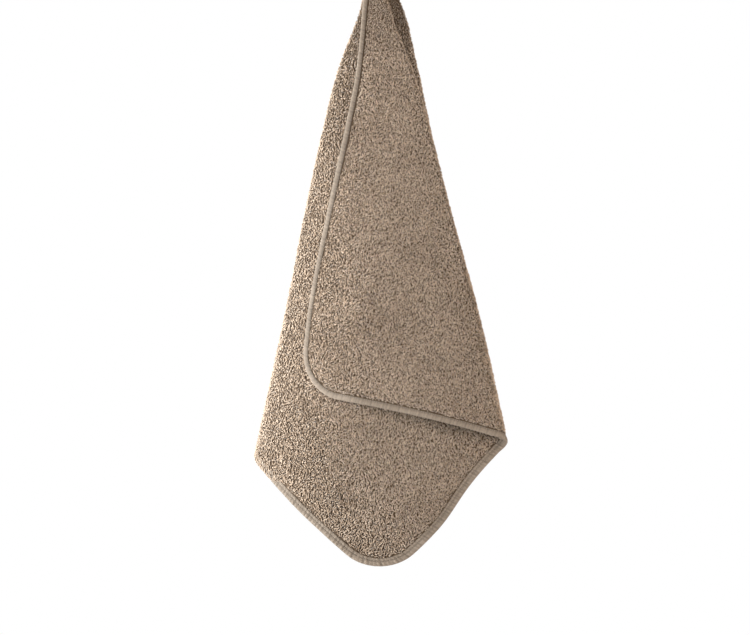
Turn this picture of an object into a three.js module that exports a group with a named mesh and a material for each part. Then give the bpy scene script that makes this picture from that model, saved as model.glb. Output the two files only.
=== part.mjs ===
// A bath towel that hangs from the middle of one long edge and folds under its own weight.
// Millimetres. X is to the right, Y goes away from the viewer, Z is up. The hanging point is the origin.

import * as THREE from "three";

const DEGREE = Math.PI / 180;

// The towel as it was cut. Laid flat, u runs along the long edge it hangs by and v across its width.
const LENGTH = 1400;
const WIDTH = 700;
const CORNER_RADIUS = 66;

// The terry sheet, which is pressed thin where it is gathered and inside its edge binding.
const SHEET_THICKNESS = 4.4;
const GATHERED_THICKNESS = 1.2;
const THICKENING = 0.0155;
const BOUND_THICKNESS = 1.8;

// The tape that is folded over the sheet's edge all the way round.
const RIM = 9;
const TAPE_THICKNESS = 1;
const TAPE_REACH = 8;
const TAPE_ROUNDING = 1.4;
const CLEARANCE = 0.5;

// The folds radiate from the hanging point. Each line has its angle on the flat cloth and how far it
// reaches for each millimetre of cloth; then, at each station's distance from the hanging point,
// the angle at which it hangs across the view, its depth, the radius of the turn at it, and how many
// times wider across the view the turn is than that radius.
const SWAY_STATIONS = [0, 90, 190, 285, 420, 580, 790];
const DEPTH_STATIONS = [0, 90, 400, 790];
const FOLD_LINES = [
  {
    name: "front edge",
    cut: 0,
    reach: 0.998,
    sway: [-12, -7.4, -6.2, -7.5, -9, -9.6, -7.7],
    depth: [-14, -14, -16, -13],
    turn: [0, 0, 0, 0],
    flare: [1, 1, 1, 1],
  },
  {
    name: "front right fold",
    cut: 28,
    reach: 0.996,
    sway: [12, 10.7, 15.2, 15.8, 15.35, 15.3, 14.6],
    depth: [-11.4, -11.4, -12, -6],
    turn: [0, 2.7, 5, 14],
    flare: [1, 1, 1, 1.25],
  },
  {
    name: "left fold",
    cut: 57.9,
    reach: 1.002,
    sway: [-12, -11.3, -15.4, -15.3, -14.5, -13.7, -13.35],
    depth: [-5.8, -5.8, 2, 12],
    turn: [0, 2.8, 8, 18],
    flare: [1, 1, 1.2, 1.8],
  },
  {
    name: "inner right fold",
    cut: 90,
    reach: 0.995,
    sway: [12, 12, 14, 13.5, 12.5, 12, 11.5],
    depth: [0.1, 0.1, 16, 32],
    turn: [0, 2.8, 6, 8],
    flare: [1, 1, 1, 1],
  },
  {
    name: "inner left fold",
    cut: 118.5,
    reach: 0.99,
    sway: [-12, -10, -13, -12.5, -11.4, -10.4, -9.8],
    depth: [5.8, 5.8, 28, 50],
    turn: [0, 2.8, 6, 12],
    flare: [1, 1, 1, 1],
  },
  {
    name: "rear right fold",
    cut: 152.5,
    reach: 0.995,
    sway: [14, 22.6, 18.8, 16.6, 14.8, 14, 13.4],
    depth: [11.5, 11.5, 40, 68],
    turn: [0, 2.8, 6, 10],
    flare: [1, 1, 1, 1],
  },
  {
    name: "rear edge",
    cut: 180,
    reach: 0.98,
    sway: [-12, -9, -8, -8, -8.5, -9, -9.5],
    depth: [14.2, 14.2, 46, 82],
    turn: [0, 0, 0, 0],
    flare: [1, 1, 1, 1],
  },
];

// All the layers together bow back at both sides of a centre line, and lean forward as they open out.
const BOW_CENTRE = 2;
const LEFT_BOW = { span: 15.5, depth: 0.165, power: 2.4 };
const RIGHT_BOW = { span: 13.5, depth: 0.035, power: 2.2 };
const LEAN = -0.055;
const OPENING = [
  { share: 0.15, start: 20, end: 100 },
  { share: 0.85, start: 40, end: 620 },
];

// The lowest corner curls back, and drifts to the right of where its cut would bring it.
const CURL_START = 730;
const CURL_RADIUS = 800;
const CORNER_DRIFT = { cut: 40.5, spread: 8.2, start: 760, end: 900, angle: 2.1 };

// Close to the hanging point the cloth leaves its flat plane this much sooner than its angle gives.
const FLAT_PLANE_SLACK = 0.15;
const MOST_TURN_SHARE = 0.9;

// The mesh: rows crowd towards the hanging point, columns towards the folds and the round corners.
const ROWS = 22;
const ROW_CROWDING = 2.6;
const COLUMN_STEP = 4;
const FOLD_STOPS = [-2.1, -1.2, -0.8, -0.4, 0, 0.4, 0.8, 1.2, 2.1];
const CORNER_STOPS = 6;
const PROBE = 0.5;

const clamp = (x, low, high) => Math.min(high, Math.max(low, x));

const ease = (x, low, high) => {
  const t = clamp((x - low) / (high - low), 0, 1);
  return t * t * (3 - 2 * t);
};

// A smooth value at a distance from the hanging point, from its values at the stations.
function along(stations, values, distance) {
  const last = stations.length - 1;
  const slope = (i) => {
    const before = Math.max(i - 1, 0);
    const after = Math.min(i + 1, last);
    return (values[after] - values[before]) / (stations[after] - stations[before]);
  };
  if (distance >= stations[last]) return values[last] + slope(last) * (distance - stations[last]);
  const k = stations.findIndex((station, i) => i < last && distance < stations[i + 1]);
  const span = stations[k + 1] - stations[k];
  const t = (distance - stations[k]) / span;
  return (
    (1 + 2 * t) * (1 - t) ** 2 * values[k] +
    t * (1 - t) ** 2 * span * slope(k) +
    t ** 2 * (3 - 2 * t) * values[k + 1] +
    t ** 2 * (t - 1) * span * slope(k + 1)
  );
}

// Where a fold line lies at a distance from the hanging point. Close to it the cloth is still flat,
// in the plane from front to back, so a line is never deeper than its own angle brings it.
function lineAt(line, distance) {
  const wanted = along(DEPTH_STATIONS, line.depth, distance);
  const flat = distance * (Math.abs(line.cut - 90) * DEGREE + FLAT_PLANE_SLACK);
  const turn = Math.max(along(DEPTH_STATIONS, line.turn, distance), 0);
  return {
    across: distance * along(SWAY_STATIONS, line.sway, distance) * DEGREE,
    depth: wanted * Math.tanh(flat / Math.abs(wanted)),
    turn,
    width: turn * along(DEPTH_STATIONS, line.flare, distance),
  };
}

// One layer's section, from one fold line to the next: a quarter turn, a straight run, a quarter turn.
// A turn is a quarter of an ellipse, as deep as its radius and as far across the view as its width.
function layerSection(first, second, share) {
  const side = Math.sign(second.across - first.across);
  const room = Math.abs(second.across - first.across);
  const fit = Math.min(1, (MOST_TURN_SHARE * room) / Math.max(first.width + second.width, 1e-6));
  const [r1, w1, r2, w2] = [first.turn, first.width, second.turn, second.width].map((size) =>
    Math.max(size * fit, 1e-6),
  );
  const start = { across: first.across + side * w1, depth: first.depth + r1 };
  const end = { across: second.across - side * w2, depth: second.depth - r2 };
  const run = Math.hypot(end.across - start.across, end.depth - start.depth);
  const arc1 = (Math.PI / 2) * Math.sqrt((r1 ** 2 + w1 ** 2) / 2);
  const arc2 = (Math.PI / 2) * Math.sqrt((r2 ** 2 + w2 ** 2) / 2);
  const travelled = share * (arc1 + run + arc2);
  if (travelled < arc1) {
    const turned = (Math.PI / 2) * (travelled / arc1);
    return {
      across: first.across + side * w1 * (1 - Math.cos(turned)),
      depth: first.depth + r1 * Math.sin(turned),
    };
  }
  if (travelled > arc1 + run) {
    const left = (Math.PI / 2) * ((arc1 + run + arc2 - travelled) / arc2);
    return {
      across: second.across - side * w2 * (1 - Math.cos(left)),
      depth: second.depth - r2 * Math.sin(left),
    };
  }
  const t = (travelled - arc1) / Math.max(run, 1e-6);
  return {
    across: start.across + (end.across - start.across) * t,
    depth: start.depth + (end.depth - start.depth) * t,
  };
}

const bowDepth = (bow, offCentre) => bow.depth * (Math.max(offCentre, 0) / bow.span) ** bow.power;

// The place in the air of a point of the flat cloth, at the middle of its thickness.
function draped(u, v) {
  const distance = Math.max(Math.hypot(u, v), 1e-6);
  const cut = clamp(Math.atan2(v, u) / DEGREE, 0, 180);
  const beyond = FOLD_LINES.findIndex((line) => cut < line.cut);
  const k = beyond < 0 ? FOLD_LINES.length - 1 : beyond;
  const [from, to] = [FOLD_LINES[k - 1], FOLD_LINES[k]];
  const share = (cut - from.cut) / (to.cut - from.cut);
  const section = layerSection(lineAt(from, distance), lineAt(to, distance), share);

  const drift =
    CORNER_DRIFT.angle *
    Math.exp(-(((cut - CORNER_DRIFT.cut) / CORNER_DRIFT.spread) ** 2)) *
    ease(distance, CORNER_DRIFT.start, CORNER_DRIFT.end);
  const sideways = section.across / distance + drift * DEGREE;
  const inwards = clamp(section.depth / distance, -Math.PI / 2, Math.PI / 2);

  const curled = Math.max(distance - CURL_START, 0) / CURL_RADIUS;
  const hang = Math.min(distance, CURL_START) + CURL_RADIUS * Math.sin(curled);
  const reach = hang * (from.reach + (to.reach - from.reach) * share);

  const offCentre = sideways / DEGREE - BOW_CENTRE;
  const opened = OPENING.reduce((sum, part) => sum + part.share * ease(distance, part.start, part.end), 0);
  const bowed = bowDepth(LEFT_BOW, -offCentre) + bowDepth(RIGHT_BOW, offCentre) + LEAN;
  const pushed = distance * opened * bowed + CURL_RADIUS * (1 - Math.cos(curled));

  return new THREE.Vector3(
    reach * Math.sin(sideways) * Math.cos(inwards),
    distance * Math.sin(inwards) + pushed,
    -reach * Math.cos(sideways) * Math.cos(inwards) - RIM,
  );
}

// The sheet inside the binding's inner edge is the cut less a rim all round, measured from that edge.
const HALF = LENGTH / 2 - RIM;
const DROP = WIDTH - 2 * RIM;
const INNER_CORNER = CORNER_RADIUS - RIM;

// The four rounded corners of the inner outline, in the order in which the columns meet them.
const CORNERS = [
  { u: HALF - INNER_CORNER, v: INNER_CORNER, from: -90 },
  { u: HALF - INNER_CORNER, v: DROP - INNER_CORNER, from: 0 },
  { u: INNER_CORNER - HALF, v: DROP - INNER_CORNER, from: 90 },
  { u: INNER_CORNER - HALF, v: INNER_CORNER, from: 180 },
];

const onCorner = (corner, turn) => {
  const angle = (corner.from + turn) * DEGREE;
  return [corner.u + INNER_CORNER * Math.cos(angle), corner.v + INNER_CORNER * Math.sin(angle)];
};

// The inner outline's point on a ray from the hanging point, with the outline's outward direction.
function outlineAt(cut) {
  for (const corner of CORNERS) {
    const [u1, v1] = onCorner(corner, 0);
    const [u2, v2] = onCorner(corner, 90);
    const low = Math.atan2(v1, u1) / DEGREE;
    const high = Math.atan2(v2, u2) / DEGREE;
    if (cut < low - 1e-6 || cut > high + 1e-6) continue;
    const ray = [Math.cos(cut * DEGREE), Math.sin(cut * DEGREE)];
    const middle = corner.u * ray[0] + corner.v * ray[1];
    const off = corner.u ** 2 + corner.v ** 2 - middle ** 2;
    const distance = middle + Math.sqrt(Math.max(INNER_CORNER ** 2 - off, 0));
    const point = ray.map((part) => part * distance);
    const out = [(point[0] - corner.u) / INNER_CORNER, (point[1] - corner.v) / INNER_CORNER];
    return { distance, out };
  }
  const steep = Math.abs(HALF * Math.tan(cut * DEGREE)) < DROP;
  if (steep) return { distance: HALF / Math.abs(Math.cos(cut * DEGREE)), out: [cut < 90 ? 1 : -1, 0] };
  return { distance: DROP / Math.sin(cut * DEGREE), out: [0, 1] };
}

// The angles of the columns: the corners' and folds' own stops, and even steps between them.
function columnAngles() {
  const stops = [0, 180];
  for (const corner of CORNERS) {
    for (let i = 0; i <= CORNER_STOPS; i += 1) {
      const [u, v] = onCorner(corner, (i / CORNER_STOPS) * 90);
      stops.push(clamp(Math.atan2(v, u) / DEGREE, 0, 180));
    }
  }
  for (const line of FOLD_LINES.slice(1, -1)) {
    stops.push(...FOLD_STOPS.map((offset) => line.cut + offset));
  }
  stops.sort((a, b) => a - b);
  const angles = [stops[0]];
  for (const stop of stops) {
    const last = angles.at(-1);
    const gap = stop - last;
    if (gap < 0.15) continue;
    const parts = Math.ceil(gap / COLUMN_STEP);
    for (let i = 1; i <= parts; i += 1) angles.push(last + (gap * i) / parts);
  }
  angles[angles.length - 1] = 180;
  return angles;
}

const rowShare = (row) => (Math.exp((ROW_CROWDING * row) / ROWS) - 1) / (Math.exp(ROW_CROWDING) - 1);

const thicknessAt = (distance) =>
  Math.min(SHEET_THICKNESS, GATHERED_THICKNESS + THICKENING * distance);

// The cloth's middle surface at a point of the flat cloth: its place, its normal and its thickness.
function surfaceAt(u, v) {
  const place = draped(u, v);
  const alongU = draped(u + PROBE, v).sub(draped(u - PROBE, v));
  const alongV = draped(u, v + PROBE).sub(draped(u, Math.max(v - PROBE, 0)));
  return {
    place,
    normal: alongU.cross(alongV).normalize(),
    thickness: thicknessAt(Math.hypot(u, v)),
  };
}

// A station on the inner outline also has the direction in which the rim goes on outwards.
function stationAt(u, v, out) {
  const surface = surfaceAt(u, v);
  const inside = draped(u - out[0] * PROBE, v - out[1] * PROBE);
  const outward = surface.place.clone().sub(inside);
  outward.addScaledVector(surface.normal, -outward.dot(surface.normal)).normalize();
  return { ...surface, outward };
}

const stationPoint = (station, out, up) =>
  station.place.clone().addScaledVector(station.outward, out).addScaledVector(station.normal, up);

function meshOf(name, points, faces, material) {
  const geometry = new THREE.BufferGeometry();
  geometry.setAttribute(
    "position",
    new THREE.Float32BufferAttribute(points.flatMap((point) => point.toArray()), 3),
  );
  geometry.setIndex(faces.flat());
  geometry.computeVertexNormals();
  const mesh = new THREE.Mesh(geometry, material);
  mesh.name = name;
  return mesh;
}

const quad = (a, b, c, d) => [
  [a, b, c],
  [a, c, d],
];

// The grid of the flat cloth: the hanging point, then each column from it to the inner outline.
const ANGLES = columnAngles();
const COLUMNS = ANGLES.map((cut) => {
  const { distance, out } = outlineAt(cut);
  const ray = [Math.cos(cut * DEGREE), Math.max(Math.sin(cut * DEGREE), 0)];
  const points = [];
  for (let row = 1; row <= ROWS; row += 1) {
    points.push(ray.map((part) => part * distance * rowShare(row)));
  }
  return { points, out };
});

// The stations round the inner outline, each with its column and row in the grid.
function rimStations() {
  const stations = [{ column: -1, row: 0, at: [0, 0], out: [0, -1] }];
  const add = (column, row, out) =>
    stations.push({ column, row, at: COLUMNS[column].points[row], out });
  const last = COLUMNS.length - 1;
  for (let row = 0; row < ROWS - 1; row += 1) add(0, row, [0, -1]);
  for (let column = 0; column <= last; column += 1) add(column, ROWS - 1, COLUMNS[column].out);
  for (let row = ROWS - 2; row >= 0; row -= 1) add(last, row, [0, -1]);
  return stations.map((station) => ({ ...station, ...stationAt(...station.at, station.out) }));
}

// The terry sheet: two faces over the grid, and a rim pressed thin that ends inside the binding.
function makeSheet(stations, material) {
  const points = [];
  const faces = [];
  const index = (column, row, face) =>
    column < 0 ? face : 2 + (column * ROWS + row) * 2 + face;
  const put = ({ place, normal, thickness }) => {
    points.push(place.clone().addScaledVector(normal, thickness / 2));
    points.push(place.clone().addScaledVector(normal, -thickness / 2));
  };
  put(surfaceAt(0, 0));
  for (const column of COLUMNS) {
    for (const [u, v] of column.points) put(surfaceAt(u, v));
  }
  for (let column = 0; column < COLUMNS.length - 1; column += 1) {
    faces.push([index(-1, 0, 0), index(column, 0, 0), index(column + 1, 0, 0)]);
    faces.push([index(-1, 0, 1), index(column + 1, 0, 1), index(column, 0, 1)]);
    for (let row = 0; row < ROWS - 1; row += 1) {
      const corners = (face) => [
        index(column, row, face),
        index(column, row + 1, face),
        index(column + 1, row + 1, face),
        index(column + 1, row, face),
      ];
      faces.push(...quad(...corners(0)));
      faces.push(...quad(...corners(1).reverse()));
    }
  }

  const rimRows = [
    { out: RIM - TAPE_REACH - 0.2, half: BOUND_THICKNESS / 2 },
    { out: RIM - TAPE_THICKNESS - CLEARANCE, half: BOUND_THICKNESS / 2 },
  ];
  const rimStart = points.length;
  for (const station of stations) {
    const most = thicknessAt(Math.hypot(...station.at)) / 2;
    for (const { out, half } of rimRows) {
      const up = Math.min(half, most);
      points.push(stationPoint(station, out, up), stationPoint(station, out, -up));
    }
  }
  const rimIndex = (i, row, face) =>
    row < 0
      ? index(stations[i].column, stations[i].row, face)
      : rimStart + (i * rimRows.length + row) * 2 + face;
  for (let i = 0; i < stations.length; i += 1) {
    const j = (i + 1) % stations.length;
    for (let row = 0; row < rimRows.length; row += 1) {
      const inner = (k, face) => rimIndex(k, row - 1, face);
      const outer = (k, face) => rimIndex(k, row, face);
      faces.push(...quad(inner(i, 0), outer(i, 0), outer(j, 0), inner(j, 0)));
      faces.push(...quad(inner(i, 1), inner(j, 1), outer(j, 1), outer(i, 1)));
    }
    const end = rimRows.length - 1;
    faces.push(
      ...quad(rimIndex(i, end, 0), rimIndex(i, end, 1), rimIndex(j, end, 1), rimIndex(j, end, 0)),
    );
  }
  return meshOf("terry_sheet", points, faces, material);
}

// The edge binding: one tape folded over the rim, swept round all the stations.
function makeBinding(stations, material) {
  const inner = BOUND_THICKNESS / 2 + CLEARANCE;
  const outer = inner + TAPE_THICKNESS;
  const start = RIM - TAPE_REACH;
  const profile = [
    [start, outer],
    [RIM - TAPE_ROUNDING, outer],
    [RIM, outer - TAPE_ROUNDING],
    [RIM, TAPE_ROUNDING - outer],
    [RIM - TAPE_ROUNDING, -outer],
    [start, -outer],
    [start, -inner],
    [RIM - TAPE_THICKNESS, -inner],
    [RIM - TAPE_THICKNESS, inner],
    [start, inner],
  ];
  const points = stations.flatMap((station) =>
    profile.map(([out, up]) => stationPoint(station, out, up)),
  );
  const faces = [];
  const index = (i, k) => (i % stations.length) * profile.length + (k % profile.length);
  for (let i = 0; i < stations.length; i += 1) {
    for (let k = 0; k < profile.length; k += 1) {
      const outwards = profile[(k + 1) % profile.length][0] > profile[k][0];
      const corners = [index(i, k), index(i, k + 1), index(i + 1, k + 1), index(i + 1, k)];
      if (!outwards) corners.push(corners.shift());
      faces.push(...quad(...corners));
    }
  }
  return meshOf("edge_binding", points, faces, material);
}

const terry = new THREE.MeshStandardMaterial({ color: 0x9c8872, roughness: 1, metalness: 0 });
const tape = new THREE.MeshStandardMaterial({ color: 0xa8947f, roughness: 0.9, metalness: 0 });

const towel = new THREE.Group();
const stations = rimStations();
towel.add(makeSheet(stations, terry));
towel.add(makeBinding(stations, tape));

export default towel;
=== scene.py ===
"""A bath towel of thick terry with a bound rim, hung by the middle of one long edge.

The cloth is worked out flat, in millimetres, and then folded into the air by HungCloth. Meshes are
written in metres. X is to the right, Y goes away from the viewer and Z is up. The hanging point is
the origin.
"""

import logging
import math
from dataclasses import dataclass, field
from enum import Enum

import bpy
import numpy as np
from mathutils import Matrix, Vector
from mathutils.bvhtree import BVHTree


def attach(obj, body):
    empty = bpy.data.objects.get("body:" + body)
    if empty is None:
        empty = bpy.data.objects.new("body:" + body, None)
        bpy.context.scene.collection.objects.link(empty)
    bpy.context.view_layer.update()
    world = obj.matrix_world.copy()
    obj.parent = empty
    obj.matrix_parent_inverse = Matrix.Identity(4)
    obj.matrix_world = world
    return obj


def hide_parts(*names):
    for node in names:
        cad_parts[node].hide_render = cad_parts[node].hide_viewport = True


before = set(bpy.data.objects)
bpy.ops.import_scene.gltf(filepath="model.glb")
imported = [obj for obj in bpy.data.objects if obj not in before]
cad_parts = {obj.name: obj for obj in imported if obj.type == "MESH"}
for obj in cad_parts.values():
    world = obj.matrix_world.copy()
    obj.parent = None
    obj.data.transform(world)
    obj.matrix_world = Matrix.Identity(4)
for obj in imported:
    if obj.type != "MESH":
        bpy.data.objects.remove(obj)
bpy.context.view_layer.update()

log = logging.getLogger("bath_towel")

MM = 0.001
DEGREE = math.pi / 180
QUARTER = math.pi / 2
TINY = 1e-6
BAKE_MAP = "OFBake"
YARN_SIDES = 3
YARN_SWELL = {"end": 0.92, "middle": 1.05}

Array = np.ndarray
Socket = bpy.types.NodeSocket
Mesh = bpy.types.Mesh
Piece = bpy.types.Object
Material = bpy.types.Material
Colour = tuple[float, float, float, float]
Numbers = tuple[float, ...]
Pair = tuple[float, float]
Arrays = tuple[Array, ...]


class Side(Enum):
    """The cloth's two faces. FACE shows on the front flap, REVERSE on the layer behind it."""

    FACE = 0
    REVERSE = 1

    @property
    def sign(self) -> float:
        """Which way this face looks along the cloth's normal."""
        return 1.0 if self is Side.FACE else -1.0


def ease(x: Array, low: float, high: float) -> Array:
    """The values x, taken from a smooth rise that is 0 at low and 1 at high."""
    t = np.clip((x - low) / (high - low), 0, 1)
    return t * t * (3 - 2 * t)


def unit(v: Array) -> Array:
    """The vectors of the last axis, made one long."""
    return v / np.maximum(np.linalg.norm(v, axis=-1, keepdims=True), 1e-12)


def along(stations: Numbers, values: Numbers, distance: Array) -> Array:
    """A smooth curve through the values that a line has at its stations.

    Args:
        stations: Distances from the hanging point.
        values: The value at each.
        distance: Where the curve is read.

    Returns:
        The value at each distance, going straight on past the last station.
    """
    x, y = np.asarray(stations, float), np.asarray(values, float)
    order = np.arange(len(x))
    before, after = np.maximum(order - 1, 0), np.minimum(order + 1, len(x) - 1)
    slope = (y[after] - y[before]) / (x[after] - x[before])
    k = np.clip(np.searchsorted(x, distance, side="right") - 1, 0, len(x) - 2)
    span = x[k + 1] - x[k]
    t = (distance - x[k]) / span
    curve = (1 + 2 * t) * (1 - t) ** 2 * y[k] + t * (1 - t) ** 2 * span * slope[k]
    curve += t**2 * (3 - 2 * t) * y[k + 1] + t**2 * (t - 1) * span * slope[k + 1]
    return np.where(distance >= x[-1], y[-1] + slope[-1] * (distance - x[-1]), curve)


@dataclass(frozen=True)
class FoldLine:
    """A line that the cloth folds along, from the hanging point outwards.

    cut is its angle on the flat cloth, and reach how far it hangs for each millimetre of cloth.
    sway is the angle at which it hangs, depth its depth and turn the radius of the fold, each at
    its stations. flare is how many times wider across the view the turn is than that radius.
    """

    name: str
    cut: float
    reach: float
    sway: Numbers
    depth: Numbers
    turn: Numbers = (0, 0, 0, 0)
    flare: Numbers = (1, 1, 1, 1)


FOLD_LINES = (
    FoldLine("front edge", 0, 0.998, (-12, -7.4, -6.2, -7.5, -9, -9.6, -7.7), (-14, -14, -16, -13)),
    FoldLine(
        "front right fold", 28, 0.996, (12, 10.7, 15.2, 15.8, 15.35, 15.3, 14.6),
        (-11.4, -11.4, -12, -6), (0, 2.7, 5, 14), (1, 1, 1, 1.25),
    ),
    FoldLine(
        "left fold", 57.9, 1.002, (-12, -11.3, -15.4, -15.3, -14.5, -13.7, -13.35),
        (-5.8, -5.8, 2, 12), (0, 2.8, 8, 18), (1, 1, 1.2, 1.8),
    ),
    FoldLine(
        "inner right fold", 90, 0.995, (12, 12, 14, 13.5, 12.5, 12, 11.5),
        (0.1, 0.1, 16, 32), (0, 2.8, 6, 8),
    ),
    FoldLine(
        "inner left fold", 118.5, 0.99, (-12, -10, -13, -12.5, -11.4, -10.4, -9.8),
        (5.8, 5.8, 28, 50), (0, 2.8, 6, 12),
    ),
    FoldLine(
        "rear right fold", 152.5, 0.995, (14, 22.6, 18.8, 16.6, 14.8, 14, 13.4),
        (11.5, 11.5, 40, 68), (0, 2.8, 6, 10),
    ),
    FoldLine("rear edge", 180, 0.98, (-12, -9, -8, -8, -8.5, -9, -9.5), (14.2, 14.2, 46, 82)),
)


@dataclass(frozen=True)
class LinePlace:
    """Where a fold line lies at some distances, and the radius and width of its turn there."""

    across: Array
    depth: Array
    turn: Array
    width: Array


@dataclass(frozen=True)
class Bow:
    """How all the layers bow back at one side: over this angle, to this depth."""

    span: float
    depth: float
    power: float

    def at(self, off_centre: Array) -> Array:
        """The share of the distance by which the cloth is set back, at an angle off the centre."""
        return self.depth * (np.maximum(off_centre, 0) / self.span) ** self.power


@dataclass(frozen=True)
class Drift:
    """How the lowest corner hangs off to one side of where its cut would bring it."""

    cut: float
    spread: float
    start: float
    end: float
    angle: float

    def at(self, cut: Array, distance: Array) -> Array:
        """The angle by which a point of the flat cloth swings aside."""
        share = np.exp(-(((cut - self.cut) / self.spread) ** 2))
        return self.angle * share * ease(distance, self.start, self.end)


@dataclass(frozen=True)
class RimPath:
    """Stations round the inner outline of the flat cloth, each with its outward direction."""

    u: Array
    v: Array
    out: Array
    travelled: Array


@dataclass
class HungCloth:
    """The flat cloth and the way it hangs, all in millimetres and degrees.

    Each opening is a share of the bow that comes in between two distances. Each wave is a height
    and two crossing sines, with their lengths across and down and their phase.
    """

    length: float = 1400
    width: float = 700
    corner_radius: float = 66
    rim: float = 9
    full_thickness: float = 4.4
    gathered_thickness: float = 1.2
    thickening: float = 0.0155
    gathered_rim: float = 0.74
    rim_opens: Pair = (120, 420)
    sway_stations: Numbers = (0, 90, 190, 285, 420, 580, 790)
    depth_stations: Numbers = (0, 90, 400, 790)
    lines: tuple[FoldLine, ...] = FOLD_LINES
    flattening: float = 0.15
    turning_room: float = 0.9
    bow_centre: float = 2
    left_bow: Bow = Bow(15.5, 0.165, 2.4)
    right_bow: Bow = Bow(13.5, 0.035, 2.2)
    lean: float = -0.055
    openings: tuple[Numbers, ...] = ((0.15, 20, 100), (0.85, 40, 620))
    drift: Drift = Drift(40.5, 8.2, 760, 900, 2.1)
    curl_start: float = 730
    curl_radius: float = 800
    waves: tuple[tuple, ...] = ((1.5, (27, 61, 0.7), (-71, 43, 1.9)), (0.45, (13, -29, 2.1), (31, 17, 0.4)))
    waves_grow: Pair = (90, 420)
    probe: float = 0.5

    def __post_init__(self) -> None:
        """Works out the outline that the binding's inner edge follows."""
        self.half = self.length / 2 - self.rim
        self.drop = self.width - 2 * self.rim
        self.inner_corner = self.corner_radius - self.rim

    def thickness(self, distance: Array) -> Array:
        """The cloth's whole thickness with its pile, which the gathering presses thin."""
        return np.minimum(self.full_thickness, self.gathered_thickness + self.thickening * distance)

    def rim_share(self, distance: Array) -> Array:
        """How much of its flat width the rim keeps, since the gathering draws it in."""
        return self.gathered_rim + (1 - self.gathered_rim) * ease(distance, *self.rim_opens)

    def line_at(self, line: FoldLine, distance: Array) -> LinePlace:
        """Where a fold line lies.

        Args:
            line: The fold line.
            distance: Distances from the hanging point.

        Returns:
            Its place, drawn together close to the hanging point.
        """
        across = distance * along(self.sway_stations, line.sway, distance) * DEGREE
        wanted = along(self.depth_stations, line.depth, distance)
        flat = distance * (abs(line.cut - 90) * DEGREE + self.flattening)
        turn = np.maximum(along(self.depth_stations, line.turn, distance), 0)
        width = turn * along(self.depth_stations, line.flare, distance)
        return LinePlace(across, wanted * np.tanh(flat / np.abs(wanted)), turn, width)

    def layer_section(self, first: LinePlace, second: LinePlace, share: Array) -> Arrays:
        """One layer from fold to fold: a quarter turn, a straight run and a quarter turn.

        Args:
            first: The line that the layer starts from.
            second: The line that it goes to.
            share: How far along the layer each point is.

        Returns:
            The points' places across the view, and their depths.
        """
        side = np.sign(second.across - first.across)
        room = np.abs(second.across - first.across)
        fit = np.minimum(1, self.turning_room * room / np.maximum(first.width + second.width, TINY))
        r1, w1, r2, w2 = (
            np.maximum(size * fit, TINY) for size in (first.turn, first.width, second.turn, second.width)
        )
        start = np.stack([first.across + side * w1, first.depth + r1])
        end = np.stack([second.across - side * w2, second.depth - r2])
        run = np.hypot(*(end - start))
        arc1, arc2 = (QUARTER * np.sqrt((r**2 + w**2) / 2) for r, w in ((r1, w1), (r2, w2)))
        travelled = share * (arc1 + run + arc2)
        turned = QUARTER * travelled / arc1
        left = QUARTER * (arc1 + run + arc2 - travelled) / arc2
        straight = start + (end - start) * ((travelled - arc1) / np.maximum(run, TINY))
        parts = [travelled < arc1, travelled > arc1 + run]
        opening = (first.across + side * w1 * (1 - np.cos(turned)), first.depth + r1 * np.sin(turned))
        closing = (second.across - side * w2 * (1 - np.cos(left)), second.depth - r2 * np.sin(left))
        across, depth = (np.select(parts, [opening[i], closing[i]], straight[i]) for i in range(2))
        return across, depth

    def unevenness(self, x: Array, z: Array, distance: Array) -> Array:
        """The gentle waves that all the layers share, in millimetres of depth.

        Args:
            x: Places to the right.
            z: Places up.
            distance: Distances from the hanging point.

        Returns:
            The depth to add at each point.
        """
        total = np.zeros_like(x)
        for height, *crossing in self.waves:
            first, second = (np.sin(x / across + z / down + phase) for across, down, phase in crossing)
            total += height * (first * second)
        return total * ease(distance, *self.waves_grow)

    def draped(self, u: Array, v: Array) -> Array:
        """The place in the air of points of the flat cloth, in the middle of its thickness.

        Args:
            u: Distances along the edge that it hangs by.
            v: Distances across the cloth.

        Returns:
            An array of points, in millimetres.
        """
        distance = np.maximum(np.hypot(u, v), TINY)
        cut = np.clip(np.arctan2(v, u) / DEGREE, 0, 180)
        cuts = np.array([line.cut for line in self.lines], float)
        layer = np.clip(np.searchsorted(cuts, cut, side="right") - 1, 0, len(cuts) - 2)
        across, depth, reach = (np.zeros_like(distance) for _ in range(3))
        for k, (first, second) in enumerate(zip(self.lines, self.lines[1:])):
            at = layer == k
            if not at.any():
                continue
            share = (cut[at] - first.cut) / (second.cut - first.cut)
            ends = [self.line_at(line, distance[at]) for line in (first, second)]
            across[at], depth[at] = self.layer_section(*ends, share)
            reach[at] = first.reach + (second.reach - first.reach) * share
        sideways = across / distance + self.drift.at(cut, distance) * DEGREE
        inwards = np.clip(depth / distance, -QUARTER, QUARTER)
        curled = np.maximum(distance - self.curl_start, 0) / self.curl_radius
        hang = np.minimum(distance, self.curl_start) + self.curl_radius * np.sin(curled)
        off_centre = sideways / DEGREE - self.bow_centre
        opened = sum(share * ease(distance, low, high) for share, low, high in self.openings)
        bowed = self.left_bow.at(-off_centre) + self.right_bow.at(off_centre) + self.lean
        pushed = distance * opened * bowed + self.curl_radius * (1 - np.cos(curled))
        x = hang * reach * np.sin(sideways) * np.cos(inwards)
        z = -hang * reach * np.cos(sideways) * np.cos(inwards) - self.rim
        y = distance * np.sin(inwards) + pushed + self.unevenness(x, z, distance)
        return np.stack([x, y, z], axis=-1)

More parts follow.
